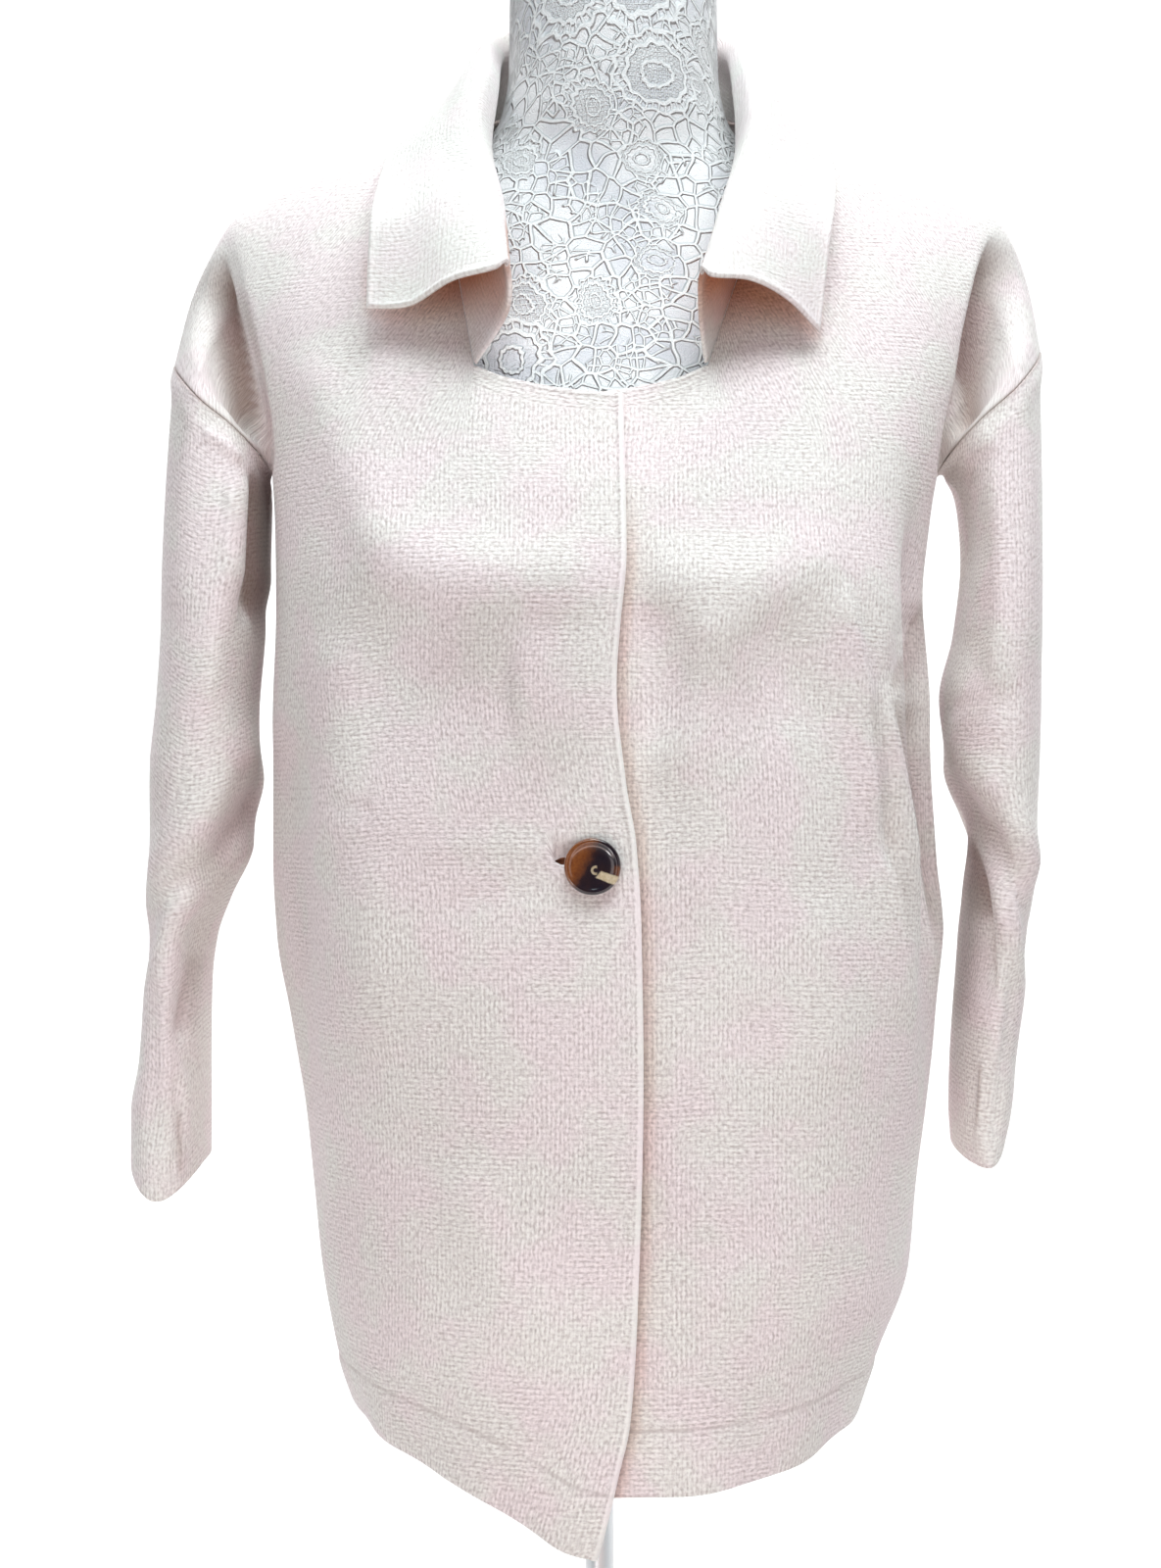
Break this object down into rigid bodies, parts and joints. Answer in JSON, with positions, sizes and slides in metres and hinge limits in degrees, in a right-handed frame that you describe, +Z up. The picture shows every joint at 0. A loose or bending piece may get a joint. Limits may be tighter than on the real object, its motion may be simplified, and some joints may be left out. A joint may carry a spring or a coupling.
{
  "type": "button cardigan on dress form",
  "caption": "Hip-length knitted cardigan with turned-down collar, dropped shoulders and button front, hung on a limbless bust form with pole and round base.",
  "frame": {"origin": "centre of the round base's underside, at the floor", "axes": "+Z up; the wearer's front faces -Y; the wearer's right is -X"},
  "size_m": [0.4641, 0.2695, 0.9],
  "materials": {
    "knit_front_right": "fine textured knit, matt",
    "knit_front_left": "fine textured knit, matt",
    "knit_back": "fine textured knit, matt",
    "knit_sleeve_right": "fine textured knit, matt",
    "knit_sleeve_left": "fine textured knit, matt",
    "knit_collar": "fine textured knit, matt",
    "button": "polished tortoiseshell pattern",
    "button_thread": "twisted thread",
    "form_cover": "white floral net over pale grey cloth",
    "pole_steel": "brushed",
    "base_steel": "brushed"
  },
  "bodies": {
    "root": {"front_right": "knit_front_right", "front_left": "knit_front_left", "back": "knit_back", "sleeve_right": "knit_sleeve_right", "sleeve_left": "knit_sleeve_left", "collar": "knit_collar", "button": "button", "button_thread": "button_thread", "dress_form": "form_cover", "stand_pole": "pole_steel", "stand_base": "base_steel"}
  },
  "joints": []
}
